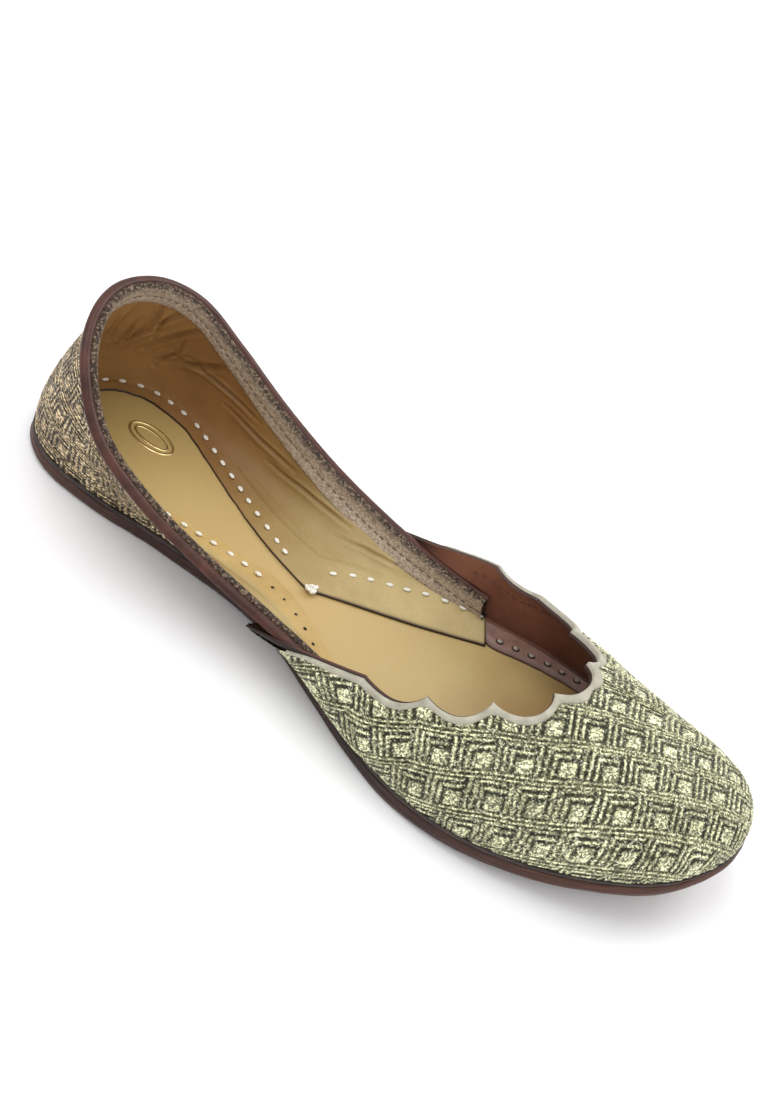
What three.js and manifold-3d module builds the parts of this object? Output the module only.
// Mojari shoe, right foot: stacked leather sole, dark rand, insole, a hollow two-piece upper
// (scalloped vamp lapped over the quarter at the waist) and the rolled binding of the collar.
// Millimetres, +X towards the toe, +Y towards the inner side of the foot, +Z up.
// The origin is on the floor, under the middle of the shoe's bounding box.
import * as THREE from "three";
import { mergeVertices } from "three/addons/utils/BufferGeometryUtils.js";
import Module from "manifold-3d";

const wasm = await Module();
wasm.setup();

// Driving dimensions.
const LENGTH = 245; // sole, heel to toe
const TOE_SPRING = 16; // height of the sole's underside at the toe tip
const SPRING_START = 158; // the toe turns up in front of here
const ARCH = { from: 62, to: 138, rise: 2 }; // hollow under the waist
const SOLE_THICKNESS = 4.6;
const RAND_THICKNESS = 1.2;
const INSOLE_THICKNESS = 1.6;
const GAP = 0.3; // clearance between pieces that touch
const WALL = 2; // leather and cloth of the upper
const FEATHER_INSET = 0.8; // the upper stands this far inside the sole's edge
const LAP_INSET = WALL - GAP; // how much further in the quarter's foot is under the vamp
const SCALLOP_DEPTH = 4.3;
const CENTRE_SCALLOP_DEPTH = 2.8;
const BINDING = { skin: 1.2, hem: 0.8, outerLeg: 4, innerLeg: 3 }; // thickness and reach of the rolled strip

// Stations round the sole, heel to toe: half widths of its outline either side of the centre line.
const OUTLINE = [
  { at: "heel back", x: 0, lateral: 0, medial: 0 },
  { at: "heel curve", x: 4.2, lateral: 15, medial: 14.5 },
  { at: "heel corner", x: 16, lateral: 23.8, medial: 24 },
  { at: "heel side", x: 37, lateral: 25, medial: 27 },
  { at: "heel front", x: 59, lateral: 22, medial: 24.6 },
  { at: "shank", x: 84, lateral: 21, medial: 20.8 },
  { at: "waist", x: 108, lateral: 24, medial: 21 },
  { at: "waist front", x: 126, lateral: 29.5, medial: 26 },
  { at: "joint", x: 144, lateral: 36, medial: 32.2 },
  { at: "ball", x: 165, lateral: 40.6, medial: 36.5 },
  { at: "toe side", x: 190, lateral: 38.8, medial: 36 },
  { at: "toe corner", x: 219, lateral: 28.5, medial: 31 },
  { at: "toe cap", x: 238, lateral: 14, medial: 24.3 },
  { at: "toe tip", x: LENGTH, lateral: -6.5, medial: 10 },
];
const TIP = OUTLINE.length - 1;

// Ribs of the quarter, one at each station from the heel back to its front edge: the topline's
// place, how far the wall rises straight from its foot and drops from its top, and how it swells.
const QUARTER = [
  { x: 13.5, z: 56, lateral: 0, medial: 0, rise: 16, bulge: 1.6, drop: 15, swell: 4.2 },
  { x: 17.2, z: 54, lateral: 14, medial: 13.8, rise: 16, bulge: 1.2, drop: 15, swell: 3 },
  { x: 26.5, z: 48, lateral: 25.6, medial: 23.6, rise: 15, bulge: 1.6, drop: 14, swell: 2 },
  { x: 41, z: 38.5, lateral: 33.2, medial: 27.3, rise: 12, bulge: 2, drop: 11, swell: 1 },
  { x: 60.5, z: 30, lateral: 34.4, medial: 27.4, rise: 9, bulge: 1.5, drop: 8, swell: 0 },
  { x: 83.5, z: 24, lateral: 33.2, medial: 26.2, rise: 7, bulge: 1, drop: 6, swell: 0 },
  { x: 105.5, z: 20.6, lateral: 32.2, medial: 25.8, rise: 5, bulge: 0.5, drop: 5, swell: 0 },
  { x: 123, z: 18.6, lateral: 32, medial: 26.6, rise: 5, bulge: 0, drop: 4, swell: 0 },
  { x: 143, z: 17.2, lateral: 33.2, medial: 28.6, rise: 4, bulge: 0, drop: 4, swell: 0 },
];

// Ribs of the vamp, from the rear tip of its ear at the waist to the toe. Pull draws the top of the
// rib out towards its foot, so that the wall turns over into the instep. Scallop numbers the cusps.
const VAMP_START = 6;
const VAMP = [
  { x: 103, z: 16, lateral: 36, medial: 29.6, rise: 4, bulge: 0.5, drop: 3, pull: 0, scallop: 0 },
  { x: 120.5, z: 21.5, lateral: 36.2, medial: 30.4, rise: 6, bulge: 1, drop: 5, pull: 0, scallop: 0 },
  { x: 141, z: 28.2, lateral: 34.6, medial: 31.8, rise: 8.5, bulge: 2, drop: 6, pull: 0.3, scallop: 1 },
  { x: 157.5, z: 32.5, lateral: 28.8, medial: 27.4, rise: 10.5, bulge: 1.8, drop: 5, pull: 0.55, scallop: 2 },
  { x: 172, z: 37.2, lateral: 20, medial: 19.6, rise: 11.5, bulge: 1.6, drop: 5, pull: 0.58, scallop: 3 },
  { x: 182.8, z: 41.5, lateral: 7.8, medial: 9, rise: 13, bulge: 2.4, drop: 4.5, pull: 0.54, scallop: 4 },
  { x: 184, z: 42.3, lateral: 2.8, medial: 4.4, rise: 15, bulge: 2.4, drop: 4.5, pull: 0.53, scallop: 4.3 },
  { x: 184.2, z: 42.5, lateral: -0.8, medial: 0.8, rise: 16, bulge: 2.4, drop: 4.5, pull: 0.5, scallop: 4.5 },
];

const clamp = (value, low, high) => Math.min(Math.max(value, low), high);
const UP = new THREE.Vector3(0, 0, 1);

// Heights.
function ground(x) {
  if (x > SPRING_START) return TOE_SPRING * ((x - SPRING_START) / (LENGTH - SPRING_START)) ** 2;
  if (x > ARCH.from && x < ARCH.to)
    return ARCH.rise * Math.sin((Math.PI * (x - ARCH.from)) / (ARCH.to - ARCH.from)) ** 2;
  return 0;
}
const RAND_LEVEL = SOLE_THICKNESS + GAP;
const FEATHER_LEVEL = RAND_LEVEL + RAND_THICKNESS + GAP;

// The outline as a closed curve. Station number k counts along the lateral side from the heel back
// to the toe tip and on along the medial side, so -k is station k of the medial side.
const outline = new THREE.CatmullRomCurve3(
  [
    ...OUTLINE.map((s) => new THREE.Vector3(s.x, -s.lateral, 0)),
    ...OUTLINE.slice(1, TIP)
      .reverse()
      .map((s) => new THREE.Vector3(s.x, s.medial, 0)),
  ],
  true,
  "centripetal",
);
const lap = (k) => (((k / (2 * TIP)) % 1) + 1) % 1;
const edgeAt = (k) => outline.getPoint(lap(k));
function outwardAt(k) {
  const along = edgeAt(k + 0.02).sub(edgeAt(k - 0.02));
  return new THREE.Vector3(along.y, -along.x, 0).normalize();
}
const inset = (k, distance) => edgeAt(k).addScaledVector(outwardAt(k), -distance);

// A smooth value through evenly numbered rows.
function through(values, u) {
  const last = values.length - 1;
  const i = clamp(Math.floor(u), 0, last - 1);
  const f = u - i;
  const [a, b, c, d] = [i - 1, i, i + 1, i + 2].map((n) => values[clamp(n, 0, last)]);
  return b + (f * (c - a + f * (2 * a - 5 * b + 4 * c - d + f * (3 * (b - c) + d - a)))) / 2;
}

// A rib is a cubic curve from the feather line to the top edge.
function rib(row, k, footInset) {
  const out = outwardAt(k);
  const foot = inset(k, footInset);
  foot.z = ground(foot.x) + FEATHER_LEVEL;
  const top = new THREE.Vector3(row.x, row.y, row.z);
  const reach = foot.clone().sub(top).setZ(0).multiplyScalar(row.pull);
  return new THREE.CubicBezierCurve3(
    foot,
    foot.clone().addScaledVector(UP, row.rise).addScaledVector(out, row.bulge),
    top.clone().add(reach).addScaledVector(UP, -row.drop).addScaledVector(out, row.swell),
    top,
  );
}

// Rows of both sides as one smooth run: lateral rows have negative y, medial rows positive.
function bothSides(lateralFirst, table, defaults) {
  const side = (row, sign) => ({ ...defaults, ...row, y: sign < 0 ? -row.lateral : row.medial });
  const lateral = table.map((row) => side(row, -1));
  const medial = table.map((row) => side(row, 1));
  const rows = lateralFirst
    ? [...lateral, ...medial.reverse().slice(1)]
    : [...medial.reverse(), ...lateral.slice(1)];
  const names = ["x", "y", "z", "rise", "bulge", "drop", "swell", "pull"];
  return (u) => Object.fromEntries(names.map((n) => [n, through(rows.map((r) => r[n]), u)]));
}

// A wall from a grid of outer points: each column runs from the foot to the top edge. It can be
// grown on both faces and past its top edge, to cut clearance in a neighbour.
function shell(outer, thickness, grow = 0) {
  const columns = outer.length;
  const heights = outer[0].length;
  const normal = (i, j) => {
    const across = outer[Math.min(i + 1, columns - 1)][j].clone().sub(outer[Math.max(i - 1, 0)][j]);
    const upward = outer[i][Math.min(j + 1, heights - 1)].clone().sub(outer[i][Math.max(j - 1, 0)]);
    return across.cross(upward).normalize();
  };
  const offset = (distance) =>
    outer.map((column, i) =>
      column.map((point, j) => {
        const n = normal(i, j);
        if (j === 0) n.setZ(0).normalize();
        const placed = point.clone().addScaledVector(n, distance);
        if (j < heights - 1) return placed;
        return placed.addScaledVector(point.clone().sub(column[j - 1]).normalize(), grow);
      }),
    );
  return closedGrid(offset(grow), offset(-thickness - grow));
}

// Closes two matching grids into one solid, with a rim all round.
function closedGrid(outer, inner) {
  const columns = outer.length;
  const heights = outer[0].length;
  const positions = [outer, inner].flat(2).flatMap((p) => [p.x, p.y, p.z]);
  const at = (layer, i, j) => (layer * columns + i) * heights + j;
  const triangles = [];
  const quad = (a, b, c, d) => triangles.push(a, b, c, a, c, d);
  for (let i = 0; i < columns - 1; i++)
    for (let j = 0; j < heights - 1; j++) {
      quad(at(0, i, j), at(0, i + 1, j), at(0, i + 1, j + 1), at(0, i, j + 1));
      quad(at(1, i, j), at(1, i, j + 1), at(1, i + 1, j + 1), at(1, i + 1, j));
    }
  for (let i = 0; i < columns - 1; i++) {
    quad(at(1, i, 0), at(1, i + 1, 0), at(0, i + 1, 0), at(0, i, 0));
    const j = heights - 1;
    quad(at(0, i, j), at(0, i + 1, j), at(1, i + 1, j), at(1, i, j));
  }
  for (let j = 0; j < heights - 1; j++) {
    quad(at(1, 0, j), at(0, 0, j), at(0, 0, j + 1), at(1, 0, j + 1));
    const i = columns - 1;
    quad(at(0, i, j), at(1, i, j), at(1, i, j + 1), at(0, i, j + 1));
  }
  return solid(positions, triangles);
}

function solid(positions, triangles) {
  const bare = new THREE.BufferGeometry();
  bare.setAttribute("position", new THREE.Float32BufferAttribute(positions, 3));
  bare.setIndex(triangles);
  const merged = mergeVertices(bare, 1e-4);
  return new wasm.Manifold(
    new wasm.Mesh({
      numProp: 3,
      vertProperties: merged.attributes.position.array,
      triVerts: new Uint32Array(merged.index.array),
    }),
  );
}

function geometry(manifold) {
  const mesh = manifold.getMesh();
  const made = new THREE.BufferGeometry();
  made.setAttribute("position", new THREE.BufferAttribute(new Float32Array(mesh.vertProperties), 3));
  made.setIndex(new THREE.BufferAttribute(new Uint32Array(mesh.triVerts), 1));
  made.computeVertexNormals();
  return made;
}

// The ribs of each wall, as columns of points. A scalloped edge stops short of the cusp line.
const QUARTER_COLUMNS = 16 * 4;
const QUARTER_HEIGHTS = 7;
const quarterRow = bothSides(false, QUARTER, { pull: 0 });
const QUARTER_END = QUARTER.length - 1;
// The quarter's foot moves inwards where the vamp laps over it.
const quarterInset = (k) =>
  FEATHER_INSET + LAP_INSET * THREE.MathUtils.smoothstep(Math.abs(k), VAMP_START - 1.2, VAMP_START - 0.2);
const quarterRibs = Array.from({ length: QUARTER_COLUMNS + 1 }, (_, i) => {
  const u = (i / QUARTER_COLUMNS) * 2 * QUARTER_END;
  const k = u - QUARTER_END;
  return rib(quarterRow(u), k, quarterInset(k));
});
const quarterGrid = quarterRibs.map((r) => r.getPoints(QUARTER_HEIGHTS));

const VAMP_COLUMNS_PER_STATION = 6;
const VAMP_HEIGHTS = 9;
const vampRow = bothSides(true, VAMP, { swell: 0 });
const VAMP_STATIONS = 2 * (VAMP.length - 1);
const phases = [...VAMP.map((r) => r.scallop), ...VAMP.slice(0, -1).reverse().map((r) => 9 - r.scallop)];
function scallopDepth(u) {
  const i = clamp(Math.floor(u), 0, phases.length - 2);
  const phase = phases[i] + (u - i) * (phases[i + 1] - phases[i]);
  if (phase <= 1 || phase >= 8) return 0;
  const depth = Math.floor(phase) === 4 ? CENTRE_SCALLOP_DEPTH : SCALLOP_DEPTH;
  return depth * Math.abs(Math.sin(Math.PI * phase)) ** 0.8;
}
const vampGrid = Array.from({ length: VAMP_STATIONS * VAMP_COLUMNS_PER_STATION + 1 }, (_, i) => {
  const u = i / VAMP_COLUMNS_PER_STATION;
  const curve = rib(vampRow(u), VAMP_START + u, FEATHER_INSET);
  const stop = 1 - scallopDepth(u) / curve.getLength();
  return Array.from({ length: VAMP_HEIGHTS + 1 }, (__, j) => curve.getPoint((stop * j) / VAMP_HEIGHTS));
});

// Flat pieces: rings round the outline at given insets and heights above the sole's underside.
const PLATE_STATIONS = 44;
function plate(rings) {
  const columns = 2 * PLATE_STATIONS;
  const ring = ([distance, level]) =>
    Array.from({ length: columns }, (_, i) => {
      const p = inset((i / columns) * 2 * TIP, distance);
      return p.setZ(ground(p.x) + level);
    });
  const positions = rings.flatMap(ring).flatMap((p) => [p.x, p.y, p.z]);
  const triangles = [];
  const at = (r, i) => r * columns + ((i + columns) % columns);
  for (let r = 0; r < rings.length - 1; r++)
    for (let i = 0; i < columns; i++) {
      triangles.push(at(r, i), at(r, i + 1), at(r + 1, i + 1));
      triangles.push(at(r, i), at(r + 1, i + 1), at(r + 1, i));
    }
  const cap = (r, turned) => {
    for (let i = 0; i < PLATE_STATIONS; i++) {
      const [a, b, c, d] = [at(r, i), at(r, i + 1), at(r, -i - 1), at(r, -i)];
      const faces = [[a, b, c], [a, c, d]].filter(([p, q, s]) => p !== q && q !== s && p !== s);
      for (const f of faces) triangles.push(...(turned ? f.reverse() : f));
    }
  };
  cap(0, true);
  cap(rings.length - 1, false);
  return solid(positions, triangles);
}

function outsole() {
  return plate([
    [1.4, 0],
    [0.4, 0.9],
    [0, 2],
    [0, 3.6],
    [0.3, SOLE_THICKNESS],
  ]);
}

function rand() {
  return plate([
    [0.5, RAND_LEVEL],
    [0.2, RAND_LEVEL + RAND_THICKNESS / 2],
    [0.5, RAND_LEVEL + RAND_THICKNESS],
  ]);
}

function insole() {
  const edge = FEATHER_INSET + LAP_INSET + WALL + GAP;
  return plate([
    [edge, FEATHER_LEVEL],
    [edge, FEATHER_LEVEL + INSOLE_THICKNESS],
  ]);
}

function upper() {
  return shell(vampGrid, WALL).add(shell(quarterGrid, WALL));
}

// The binding is a strip folded over the quarter's topline, trimmed clear of the wall and the vamp.
function collarBinding() {
  const section = (i) => {
    const curve = quarterRibs[i];
    const length = curve.getLength();
    const [top, middle, low, inner] = [0, BINDING.outerLeg / 2, BINDING.outerLeg, BINDING.innerLeg].map(
      (drop) => curve.getPoint(1 - drop / length),
    );
    const up = curve.getTangent(1);
    const before = quarterRibs[Math.max(i - 1, 0)].getPoint(1);
    const after = quarterRibs[Math.min(i + 1, QUARTER_COLUMNS)].getPoint(1);
    const out = after.sub(before).cross(up).normalize();
    const skin = GAP + BINDING.skin;
    const hem = GAP + BINDING.hem;
    const from = (point, outwards, upwards) =>
      point.clone().addScaledVector(out, outwards).addScaledVector(up, upwards);
    return [
      from(low, GAP, 0),
      from(low, hem, 0),
      from(middle, skin, 0),
      from(top, skin, GAP),
      from(top, GAP - WALL / 2, skin),
      from(top, -WALL - skin, GAP),
      from(inner, -WALL - hem, 0),
      from(inner, -WALL - GAP, 0),
      from(top, -WALL - GAP, GAP),
      from(top, GAP, GAP),
      from(middle, GAP, 0),
    ];
  };
  const sections = quarterRibs.map((_, i) => section(i));
  const sides = sections[0].length;
  const positions = sections.flat().flatMap((p) => [p.x, p.y, p.z]);
  const at = (i, j) => i * sides + ((j + sides) % sides);
  const triangles = [];
  for (let i = 0; i < sections.length - 1; i++)
    for (let j = 0; j < sides; j++) {
      triangles.push(at(i, j), at(i + 1, j), at(i + 1, j + 1));
      triangles.push(at(i, j), at(i + 1, j + 1), at(i, j + 1));
    }
  // The folded section, from its outer hem over the crown to its inner hem, closed in quads.
  const folds = [[0, 1, 2, 10], [10, 2, 3, 9], [9, 3, 4], [9, 4, 8], [8, 4, 5], [8, 5, 6, 7]];
  const end = (i, turned) => {
    for (const fold of folds)
      for (let j = 1; j < fold.length - 1; j++) {
        const face = [fold[0], fold[j], fold[j + 1]].map((n) => at(i, n));
        triangles.push(...(turned ? face.reverse() : face));
      }
  };
  end(0, false);
  end(sections.length - 1, true);
  const strip = solid(positions, triangles)
    .subtract(shell(vampGrid, WALL, GAP))
    .subtract(shell(quarterGrid, WALL, GAP / 2));
  return strip.decompose().sort((a, b) => b.volume() - a.volume())[0];
}

function part(name, manifold, colour, roughness, metalness = 0) {
  const mesh = new THREE.Mesh(
    geometry(manifold),
    new THREE.MeshStandardMaterial({ color: colour, roughness, metalness }),
  );
  mesh.name = name;
  return mesh;
}

const shoe = new THREE.Group();
shoe.add(
  part("outsole", outsole(), 0x6b4032, 0.55),
  part("rand", rand(), 0x241a16, 0.6),
  part("insole", insole(), 0xc6ab74, 0.6),
  part("upper", upper(), 0xc9cd9c, 0.5, 0.4),
  part("collar_binding", collarBinding(), 0x5d3326, 0.5),
);
const widest = (side) => Math.max(...OUTLINE.map((station) => station[side]));
shoe.position.set(-LENGTH / 2, (widest("lateral") - widest("medial")) / 2, 0);

export default shoe;
